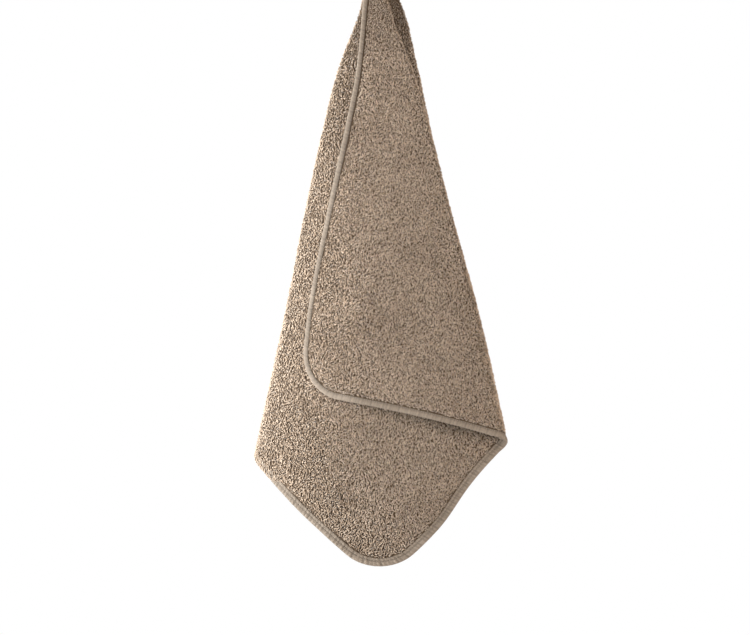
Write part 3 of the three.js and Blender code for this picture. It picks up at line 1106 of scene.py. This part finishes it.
def yarn_work_tree() -> None:
    """Makes the geometry nodes that set a yarn shape on every point, upright on the cloth.

    The points hold the attributes up, lay, size and calm. The tree turns each shape up and along,
    lets it wander, makes it a plain mesh and gives it a cell of the map that it is baked to.
    """
    sockets = {
        "Geometry": ("NodeSocketGeometry", None),
        **{label: ("NodeSocketObject", None) for label in SHAPE_INPUTS},
        "Wander": ("NodeSocketFloat", 1.2),
        "Lean": ("NodeSocketFloat", 0.4),
        "Size Spread": ("NodeSocketFloat", 0.2),
        "Map Cells": ("NodeSocketInt", 100),
        "Seed": ("NodeSocketInt", 7),
        "Finish": ("NodeSocketMaterial", None),
    }
    outputs = {"Geometry": "NodeSocketGeometry"}
    graph, start, end = make_group("Yarn work", "GeometryNodeTree", sockets, outputs)
    given = start.outputs

    def attribute(name: str, kind: str = "FLOAT_VECTOR") -> Socket:
        """A named attribute of the points."""
        node = graph.add("GeometryNodeInputNamedAttribute", {"Name": name}, data_type=kind)
        return node.outputs["Attribute"]

    def chance(low: object, high: object, offset: int) -> Socket:
        """A random number for each point, from the tree's seed."""
        inputs = {2: low, 3: high, "Seed": graph.math("ADD", given["Seed"], float(offset))}
        return graph.add("FunctionNodeRandomValue", inputs, data_type="FLOAT").outputs[1]

    def stored(geometry: Socket, name: str, value: Socket, kind: str, domain: str) -> Socket:
        """The geometry with one more attribute.

        Args:
            geometry: The geometry.
            name: The attribute's name.
            value: Its value.
            kind: Its data type.
            domain: What it is stored on.

        Returns:
            The geometry that holds it.
        """
        inputs = {"Geometry": geometry, "Name": name, "Value": value}
        node = graph.add("GeometryNodeStoreNamedAttribute", inputs, data_type=kind, domain=domain)
        return node.outputs[0]

    align = "FunctionNodeAlignRotationToVector"
    upright = graph.add(align, {"Vector": attribute("up")}, axis="Z").outputs[0]
    inputs = {"Rotation": upright, "Vector": attribute("lay")}
    laid = graph.add(align, inputs, axis="X", pivot_axis="Z").outputs[0]
    loose = graph.math("SUBTRACT", 1.0, attribute("calm", "FLOAT"))
    lean, wander = (graph.math("MULTIPLY", given[label], loose) for label in ("Lean", "Wander"))
    back, against = (graph.math("MULTIPLY", most, -1.0) for most in (lean, wander))
    angles = {0: chance(back, lean, 1), 1: chance(back, lean, 2), 2: chance(against, wander, 3)}
    turn = graph.add("FunctionNodeEulerToRotation", {0: graph.add("ShaderNodeCombineXYZ", angles).outputs[0]})
    inputs = {"Rotation": laid, "Rotate By": turn.outputs[0]}
    turned = graph.add("FunctionNodeRotateRotation", inputs, rotation_space="LOCAL").outputs[0]
    low, high = (graph.math(way, 1.0, given["Size Spread"]) for way in ("SUBTRACT", "ADD"))
    sizes = {i: chance(low, high, 4 + i) for i in range(3)}
    size = graph.scaled(graph.add("ShaderNodeCombineXYZ", sizes).outputs[0], attribute("size", "FLOAT"))

    shapes = graph.add("GeometryNodeJoinGeometry")
    for label in reversed(SHAPE_INPUTS):
        shape = graph.add("GeometryNodeObjectInfo", {"Object": given[label], "As Instance": True})
        graph.link(shape.outputs["Geometry"], shapes.inputs[0])
    inputs = {
        "Points": given["Geometry"],
        "Instance": shapes.outputs[0],
        "Pick Instance": True,
        "Instance Index": graph.math("FLOOR", chance(0.0, 2.999, 8)),
        "Rotation": turned,
        "Scale": size,
    }
    placed = graph.add("GeometryNodeInstanceOnPoints", inputs).outputs[0]
    number, cells = graph.add("GeometryNodeInputIndex").outputs[0], given["Map Cells"]
    across, down = graph.math("MODULO", number, cells), graph.math("DIVIDE", number, cells)
    cell = graph.add("ShaderNodeCombineXYZ", {0: across, 1: graph.math("FLOOR", down)}).outputs[0]
    celled = stored(placed, "cell", cell, "FLOAT_VECTOR", "INSTANCE")
    tinted = stored(celled, "tint", chance(0.0, 1.0, 9), "FLOAT", "INSTANCE")
    real = graph.add("GeometryNodeRealizeInstances", {"Geometry": tinted}).outputs[0]
    inside = graph.vector("MULTIPLY_ADD", attribute(BAKE_MAP), (0.8, 0.8, 0), (0.1, 0.1, 0))
    where = graph.scaled(graph.vector("ADD", inside, attribute("cell")), graph.math("DIVIDE", 1.0, cells))
    mapped = stored(real, BAKE_MAP, where, "FLOAT2", "CORNER")
    done = graph.add("GeometryNodeSetMaterial", {"Geometry": mapped, "Material": given["Finish"]})
    graph.link(done.outputs[0], end.inputs["Geometry"])


@dataclass(frozen=True)
class YarnPoints:
    """Points on the cloth that each take one yarn shape. All but place go into the node tree."""

    place: Array
    up: Array
    lay: Array
    size: Array
    calm: Array

    def of(self, chosen: Array) -> "YarnPoints":
        """The chosen points alone."""
        return YarnPoints(*(part[chosen] for part in vars(self).values()))


def work_yarn(
    name: str, points: YarnPoints, shapes: list[Mesh], values: dict[str, object], material: Material
) -> Mesh:
    """Runs the yarn work tree on points and returns its result as a plain mesh.

    Args:
        name: The mesh's name.
        points: Where the shapes go.
        shapes: Three yarn shapes.
        values: The tree's other inputs, by name.
        material: The finish.

    Returns:
        The mesh.
    """
    mesh = mesh_of(name + "_points", points.place, [])
    attributes = {label: part for label, part in vars(points).items() if label != "place"}
    for label, part in attributes.items():
        set_values(mesh, label, part)
    carrier = bpy.data.objects.new(name + "_points", mesh)
    helpers = [bpy.data.objects.new(shape.name, shape) for shape in shapes]
    for item in (carrier, *helpers):
        bpy.context.scene.collection.objects.link(item)
    modifier = carrier.modifiers.new("yarn", "NODES")
    modifier.node_group = bpy.data.node_groups["Yarn work"]
    cells = math.ceil(math.sqrt(len(points.size)))
    settings = {**values, **dict(zip(SHAPE_INPUTS, helpers)), "Map Cells": cells, "Finish": material}
    for item in modifier.node_group.interface.items_tree:
        if item.name in settings and item.in_out == "INPUT":
            modifier[item.identifier] = settings[item.name]
    graph = bpy.context.evaluated_depsgraph_get()
    made = bpy.data.meshes.new_from_object(carrier.evaluated_get(graph), depsgraph=graph)
    made.name = name
    for label in ("cell", *attributes):
        if label in made.attributes:
            made.attributes.remove(made.attributes[label])
    for item in (carrier, *helpers):
        bpy.data.objects.remove(item)
    return made


@dataclass(frozen=True)
class PileGrade:
    """How the loops are made on one part of the cloth: fine in front, and fewer and larger elsewhere."""

    name: str
    in_front: bool
    shapes: tuple[YarnShape, YarnShape, YarnShape]
    pitch: float
    radius: float
    size: float


@dataclass
class TerryPile:
    """The loops that stand on both faces of the cloth, wherever they can be seen.

    The edge gaps keep them clear of the tape, but at the left corner, between the shaggy angles,
    they hang over it. Lengths are in millimetres, shaggy and sector in degrees, and wander and
    lean in radians. Zones are distances from the outline between which a change comes in.
    """

    cloth: HungCloth
    sheet: TerrySheet
    finish: LoopFinish
    grades: tuple[PileGrade, ...] = (
        PileGrade("front", True, (YarnShape.ARCH, YarnShape.CRESCENT, YarnShape.SNAKE), 2.8, 1.12, 0.93),
        PileGrade("rear", False, (YarnShape.TUFT, YarnShape.BEAN, YarnShape.WAVE), 5.0, 1.08, 1.55),
    )
    most_in_piece: int = 9000
    row_pitch: float = 0.866
    jitter: float = 0.22
    wander: float = 0.75
    lean: float = 0.4
    size_spread: float = 0.3
    least_facing: float = 0.02
    least_open: float = 0.25
    edge_gaps: Pair = (2.0, 5.8)
    gathered_gap: float = 3.0
    gathered: Pair = (260, 420)
    edge_zone: Pair = (1.0, 6.0)
    shaggy: Numbers = (53.2, 55.4, 60.0, 62.0)
    overhang: float = 6.6
    shaggy_zone: Pair = (6.0, 12.0)
    shaggy_lift: float = 0.7
    least_size: float = 0.6
    edge_size: float = 0.2
    edge_calm: float = 0.7
    swirl: float = 0.6
    sector: float = 10
    seed: int = 11

    def rows_of(self, side: Side, grade: PileGrade) -> Arrays:
        """The flat places of one face's loops, in offset rows that are shaken a little.

        Args:
            side: Which face of the cloth.
            grade: Which part of it.

        Returns:
            The places u and v.
        """
        chance = np.random.default_rng(self.seed + 2 * side.value + grade.in_front)
        across = np.arange(-self.cloth.half, self.cloth.half, grade.pitch)
        down = np.arange(0, self.cloth.drop + self.overhang, grade.pitch * self.row_pitch)
        u, v = np.meshgrid(across, down)
        u = u + (np.arange(len(down)) % 2)[:, None] * grade.pitch / 2
        shift = chance.normal(0, self.jitter * grade.pitch, (2, *u.shape))
        return (u + shift[0]).ravel(), np.maximum(v + shift[1], 0).ravel()

    def spots(self, side: Side, grade: PileGrade) -> YarnPoints:
        """Sets out the loops of one face, and leaves out those that can't be seen.

        Args:
            side: Which face of the cloth.
            grade: Which part of it.

        Returns:
            The loops' points, from one side of the hanging point round to the other.
        """
        u, v = self.rows_of(side, grade)
        gathered = 1 - ease(np.hypot(u, v), *self.gathered)
        shaggy = self.shagginess(side, u, v)
        gap = self.edge_gaps[side.value] * (1 - shaggy) - self.overhang * shaggy
        inset = self.cloth.inset(u, v) - gap - np.maximum(self.gathered_gap - gap, 0) * gathered
        facing = self.sheet.read("facing", side, u, v) > self.least_facing
        opened = self.sheet.read("open", side, u, v) > self.least_open
        kept = (inset > 0) & (facing if grade.in_front else opened & ~facing)
        u, v, inset, shaggy = u[kept], v[kept], inset[kept], shaggy[kept]

        place, normal = self.cloth.surface(u, v)
        normal = normal * side.sign
        near = (1 - ease(inset, *self.edge_zone)) * (1 - shaggy)
        way = self.lay_of(side, u, v, near)
        step = self.cloth.probe
        lay = unit(self.cloth.draped(u + way[:, 0] * step, np.maximum(v + way[:, 1] * step, 0)) - place)
        thin = self.cloth.thickness(np.hypot(u, v)) / self.cloth.full_thickness
        size = grade.size * np.clip(thin, self.least_size, 1) * (1 - self.edge_size * near)
        lifted = self.shaggy_lift * shaggy * (1 - ease(inset, *self.shaggy_zone))
        foot = self.sheet.half_at(u, v) + lifted
        points = YarnPoints(place + normal * foot[:, None], normal, lay, size, near * self.edge_calm)
        return points.of(np.argsort(np.round(np.arctan2(v, u) / DEGREE / self.sector), kind="stable"))

    def lay_of(self, side: Side, u: Array, v: Array, near: Array) -> Array:
        """The way that the loops lie on the flat cloth: in swirls, and along the outline near it.

        Args:
            side: Which face of the cloth.
            u: Distances along the edge that it hangs by.
            v: Distances across the cloth.
            near: How near the outline each point is, from 0 to 1.

        Returns:
            A direction on the flat cloth for each point.
        """
        swirl = np.sin(u / 11 + v / 17 + 0.6) * np.sin(v / 13 - u / 19 + side.value)
        direction = np.arctan2(v, u) + self.swirl * swirl
        way = np.stack([np.cos(direction), np.sin(direction)], axis=-1)
        edge = self.edge_direction(u, v)
        edge = edge * np.where(np.sum(edge * way, axis=-1, keepdims=True) < 0, -1, 1)
        return way * (1 - near[:, None]) + edge * near[:, None]

    def shagginess(self, side: Side, u: Array, v: Array) -> Array:
        """How far the loops hang over the tape, which they do only outside the fold at the left corner.

        Args:
            side: Which face of the cloth.
            u: Distances along the edge that it hangs by.
            v: Distances across the cloth.

        Returns:
            The share for each point, 0 where the loops keep clear of the tape.
        """
        cut = np.arctan2(v, u) / DEGREE
        starts, full, fades, ends = self.shaggy
        return ease(cut, starts, full) * (1 - ease(cut, fades, ends)) * side.value

    def edge_direction(self, u: Array, v: Array, step: float = 0.2) -> Array:
        """The direction on the flat cloth that the nearest part of the outline runs in.

        Args:
            u: Distances along the edge that it hangs by.
            v: Distances across the cloth.
            step: How far to each side the outline is felt for.

        Returns:
            A unit direction for each point.
        """
        inset = self.cloth.inset
        slope = [inset(u + step, v) - inset(u - step, v), inset(u, v + step) - inset(u, v - step)]
        inwards = unit(np.stack(slope, axis=-1))
        return np.stack([-inwards[:, 1], inwards[:, 0]], axis=-1)

    def dress(self) -> list[Piece]:
        """Makes the loops of both faces, as pieces of a few thousand each.

        Returns:
            The pieces.
        """
        material = self.finish.material()
        made = []
        for grade in self.grades:
            shapes = [kind.mesh(grade.radius) for kind in grade.shapes]
            for side in Side:
                points = self.spots(side, grade)
                count = len(points.size)
                parts = max(math.ceil(count / self.most_in_piece), 1)
                for i, block in enumerate(np.array_split(np.arange(count), parts)):
                    name = f"pile_{side.name.lower()}_{grade.name}_{i + 1}"
                    values = {"Wander": self.wander, "Lean": self.lean, "Size Spread": self.size_spread}
                    values["Seed"] = self.seed + len(made)
                    mesh = work_yarn(name, points.of(block), shapes, values, material)
                    made.append(new_piece(name, mesh, material))
        return made


@dataclass
class EdgeBinding:
    """The tape folded over the rim, drawn in by its two rows of stitches.

    Each profile is one side's section from the inner edge to the rim, as pairs of how far out and
    how high. Each pucker wave is a pitch and a weight. The linings, puckers, stitch_outs and
    stitch_heights hold one value for the face and one for the reverse.
    """

    cloth: HungCloth
    finish: TapeFinish
    thread: ThreadFinish
    step: float = 1.45
    profiles: tuple[tuple[Pair, ...], ...] = (
        ((-0.6, 1.2), (-0.3, 1.95), (0.8, 1.6), (2.2, 2.5), (6.4, 2.5), (8.3, 1.65)),
        (
            (-4.6, 1.1), (-4.3, 1.8), (-2.2, 2.1), (-0.5, 1.8), (0.3, 1.2),
            (1.4, 2.2), (4.2, 2.75), (6.8, 2.4), (8.3, 1.6),
        ),
    )
    fold_out: float = 9.0
    lining_out: float = 8.0
    linings: Pair = (0.95, 1.2)
    puckers: Pair = (0.28, 0.66)
    pucker_waves: tuple[Pair, ...] = ((5.2, 0.9), (7.3, 0.55), (12.9, 0.45))
    pucker_seed: int = 5
    pucker_slant: float = 0.3
    pucker_sway: float = 1.5
    sway_pitch: float = 3.7
    phases: float = 6.28
    loose_heights: Pair = (1.2, 2.2)
    # painted shade along each stitch line: its width, and its depth in the tape's tone
    sewn_width: float = 0.7
    sewn_depth: float = 2.8
    map_rows: int = 12
    map_overlap: float = 1.03
    map_margins: Pair = (0.01, 0.05)
    stitch_outs: Pair = (0.7, 0.3)
    stitch_heights: Pair = (1.9, 1.55)
    stitch_pitch: float = 3.6
    thread_radius: float = 0.3

    def ring(self) -> list[Pair]:
        """The tape's whole section, out over the face, round the rim and back inside.

        Returns:
            Pairs of how far out and how high.
        """
        face, reverse = self.profiles
        near, far = self.linings
        under = [(out, -up) for out, up in reversed(reverse)]
        inner = [(reverse[0][0], -near), (self.lining_out, -far), (self.lining_out, far), (face[0][0], near)]
        return [*face, (self.fold_out, 0.0), *under, *inner]

    def pucker(self, travelled: Array, side: Side) -> Array:
        """How the tape rises and falls along its length on one side, in millimetres.

        Args:
            travelled: Distances along the tape.
            side: Which side of the binding.

        Returns:
            The height at each distance.
        """
        chance = np.random.default_rng(self.pucker_seed + side.value)
        total = np.zeros_like(travelled)
        for pitch, weight in self.pucker_waves:
            phase, swing = chance.random() * self.phases, chance.random() * self.phases
            sway = self.pucker_sway * np.sin(travelled / (pitch * self.sway_pitch) + swing)
            total += weight * np.sin(travelled * 2 * math.pi / pitch + phase + sway)
        return total * self.puckers[side.value]

    def row(self, path: RimPath, out: float) -> Arrays:
        """The cloth's middle and its normal, that far out from every station of the outline.

        Args:
            path: The stations.
            out: How far out.

        Returns:
            The places and the normals.
        """
        inside = min(out, 0.0)
        u, v = path.u + path.out[:, 0] * inside, path.v + path.out[:, 1] * inside
        place, normal = self.cloth.surface(u, v)
        if out > 0:
            drawn = self.cloth.rim_share(np.hypot(u, v))[:, None]
            place = place + self.cloth.outward(u, v, path.out, normal) * out * drawn
        return place, normal

    def build(self) -> Mesh:
        """Sweeps the tape round the rim.

        Returns:
            The mesh, with its map in millimetres and how full it stands, kept as painted shade and light for
            the puckers and stitch lines.
        """
        path = self.cloth.rim_path(self.step)
        ring = self.ring()
        rows, painted_tape_shade = [], []
        for out, up in ring:
            side = Side.FACE if up > 0 else Side.REVERSE
            place, normal = self.row(path, out)
            loose = float(ease(np.array(abs(up)), *self.loose_heights)) if out < self.fold_out else 0.0
            lift = self.pucker(path.travelled + self.pucker_slant * out, side) * loose
            rows.append(place + normal * (up + side.sign * lift)[:, None])
            # painted shade and light: the puckers' height, less a dark line where the stitches draw the tape
            # in
            sewn = math.exp(-(((out - self.stitch_outs[side.value]) / self.sewn_width) ** 2))
            painted_tape_shade.append(lift / self.puckers[side.value] - self.sewn_depth * sewn)
        points = np.stack(rows, axis=1)
        stations, around = points.shape[:2]
        i, k = pairs(stations, around)
        j, m = (i + 1) % stations, (k + 1) % around
        faces = np.stack([i * around + k, i * around + m, j * around + m, j * around + k], axis=1)
        mesh = mesh_of("edge_binding_tape", points.reshape(-1, 3), faces.tolist())
        set_values(mesh, "full", np.stack(painted_tape_shade, axis=1).ravel())

        widths = np.linalg.norm(np.diff(np.array(ring + ring[:1]), axis=0), axis=1)
        section = np.concatenate([[0], np.cumsum(widths)])
        total = path.travelled[-1] + self.step
        ahead = np.append(path.travelled, total)
        x = np.stack([ahead[i], ahead[i], ahead[i + 1], ahead[i + 1]], axis=1)
        y = np.stack([section[k], section[k + 1], section[k + 1], section[k]], axis=1)
        set_map(mesh, "tape", np.stack([x, y], axis=-1).reshape(-1, 2))
        row = (i * self.map_rows // stations)[:, None]
        first = np.array([ahead[-(-n * stations // self.map_rows)] for n in range(self.map_rows)])
        span = total / self.map_rows * self.map_overlap
        left, low = self.map_margins
        down = (row + low + (1 - 2 * low) * y / section[-1]) / self.map_rows
        bake = np.stack([left + (x - first[row]) / span * (1 - 3 * left), down], axis=-1)
        set_map(mesh, BAKE_MAP, bake.reshape(-1, 2))
        return mesh

    def stitches(self) -> YarnPoints:
        """The places of the stitches, on both sides of the binding.

        Returns:
            The stitches' points.
        """
        path = self.cloth.rim_path(self.stitch_pitch)
        parts = []
        for side, out, height in zip(Side, self.stitch_outs, self.stitch_heights):
            place, normal = self.row(path, out)
            ahead = unit(np.roll(place, -1, axis=0) - place)
            parts.append((place + normal * side.sign * height, normal * side.sign, ahead))
        where, up, lay = (np.concatenate(column) for column in zip(*parts))
        return YarnPoints(where, up, lay, np.ones(len(where)), np.ones(len(where)))

    def dress(self) -> list[Piece]:
        """Makes the tape and its stitches.

        Returns:
            The tape and the stitches.
        """
        tape = new_piece("binding_tape", self.build(), self.finish.material())
        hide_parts("edge_binding")
        thread = self.thread.material()
        values = {"Wander": 0.0, "Lean": 0.0, "Size Spread": 0.06, "Seed": 3}
        shapes = [YarnShape.STITCH.mesh(self.thread_radius)] * len(SHAPE_INPUTS)
        sewn = work_yarn("binding_stitches", self.stitches(), shapes, values, thread)
        return [tape, new_piece("binding_stitches", sewn, thread)]


@dataclass
class Towel:
    """The whole towel, and its finishes."""

    cloth: HungCloth = field(default_factory=HungCloth)
    # The ground's deep and pale tones are dark on purpose: painted shade of the pits between the loops.
    ground: GroundFinish = GroundFinish("terry ground", (0.052, 0.032, 0.019, 1), (0.13, 0.088, 0.056, 1))
    loops: LoopFinish = LoopFinish("terry loops", (0.2, 0.13, 0.079, 1), (0.412, 0.302, 0.214, 1), sheen=0.28)
    tape: TapeFinish = TapeFinish("binding tape", (0.13, 0.0975, 0.0715, 1), (0.194, 0.149, 0.113, 1), 0.85)
    thread: ThreadFinish = ThreadFinish(
        "binding thread", (0.22, 0.166, 0.124, 1), (0.335, 0.264, 0.204, 1), 0.8
    )

    def dress(self) -> None:
        yarn_tone_group()
        yarn_work_tree()
        sheet = TerrySheet(self.cloth)
        mesh = sheet.build()
        piece = new_piece("terry_ground", mesh, self.ground.material())
        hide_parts("terry_sheet")
        sheet.expose(mesh)
        trim = EdgeBinding(self.cloth, self.tape, self.thread).dress()
        pile = TerryPile(self.cloth, sheet, self.loops).dress()


@dataclass(frozen=True)
class Lamp:
    """A soft square lamp that points at the towel. Its size is the length of a side."""

    name: str
    place: Numbers
    size: float
    power: float
    colour: Numbers

    def add(self, aim: Vector) -> None:
        """Puts the lamp in the scene, out of the camera's sight.

        Args:
            aim: What the lamp points at.
        """
        data = bpy.data.lights.new(self.name, "AREA")
        data.size, data.energy, data.color = self.size, self.power, self.colour
        lamp = bpy.data.objects.new(self.name, data)
        lamp.location = self.place
        lamp.visible_camera = False
        lamp.rotation_euler = (aim - Vector(self.place)).to_track_quat("-Z", "Y").to_euler()
        bpy.context.scene.collection.objects.link(lamp)


@dataclass
class Studio:
    """The pale floor, the soft light and the camera, in metres."""

    floor_drop: float = 1.62
    floor_radius: float = 3.4
    floor_sides: int = 96
    camera_distance: float = 3.2
    camera_height: float = -0.5831
    lens: float = 100.46
    surround: float = 0.26
    aim: Numbers = (0, 0, -0.5)
    lamps: tuple[Lamp, ...] = (
        Lamp("left", (-2.0, -0.3, -0.35), 2.9, 286, (0.87, 0.945, 1.0)),
        Lamp("front", (0.2, -4.6, 1.2), 2.0, 66, (1, 0.97, 0.93)),
        Lamp("right", (2.8, -1.3, 0.0), 2.0, 108, (1, 0.98, 0.95)),
        Lamp("back", (0, 3.6, 0.4), 1.6, 120, (1, 0.98, 0.96)),
    )

    def floor(self) -> None:
        """A round floor, far enough below the towel to lie outside the camera's view."""
        turns = np.linspace(0, 2 * math.pi, self.floor_sides, endpoint=False)
        down = np.full(self.floor_sides, -self.floor_drop / self.floor_radius)
        rim = np.stack([np.cos(turns), np.sin(turns), down], axis=-1) * self.floor_radius / MM
        mesh = mesh_of("floor", rim, [list(range(self.floor_sides))])
        piece = bpy.data.objects.new("floor", mesh)
        bpy.context.scene.collection.objects.link(piece)
        mesh.materials.append(FloorFinish("floor", (0.8, 0.8, 0.8, 1), (0.86, 0.855, 0.85, 1)).material())

    def light(self) -> None:
        """A white surround, weaker on the towel than to the camera, and the lamps."""
        scene = bpy.context.scene
        scene.view_settings.view_transform = "Standard"
        scene.world = world = bpy.data.worlds.new("surround")
        world.use_nodes = True
        graph = NodeGraph(world.node_tree)
        inputs = world.node_tree.nodes["Background"].inputs
        seen = graph.add("ShaderNodeLightPath").outputs["Is Camera Ray"]
        inputs["Color"].default_value = (1, 1, 1, 1)
        graph.link(graph.math("MULTIPLY_ADD", seen, 1 - self.surround, self.surround), inputs["Strength"])
        for lamp in self.lamps:
            lamp.add(Vector(self.aim))

    def camera(self) -> None:
        """A level camera in front of the towel, at the photograph's distance."""
        data = bpy.data.cameras.new("camera")
        data.lens, data.sensor_width, data.clip_end = self.lens, 36, 50
        camera = bpy.data.objects.new("camera", data)
        camera.location = (0, -self.camera_distance, self.camera_height)
        camera.rotation_euler = (QUARTER, 0, 0)
        bpy.context.scene.collection.objects.link(camera)
        bpy.context.scene.camera = camera


def main() -> None:
    """Builds the studio and the towel in order."""
    logging.basicConfig(level=logging.INFO, format="%(message)s")
    studio = Studio()
    studio.camera()
    studio.light()
    studio.floor()
    Towel().dress()


if __name__ == "__main__":
    main()
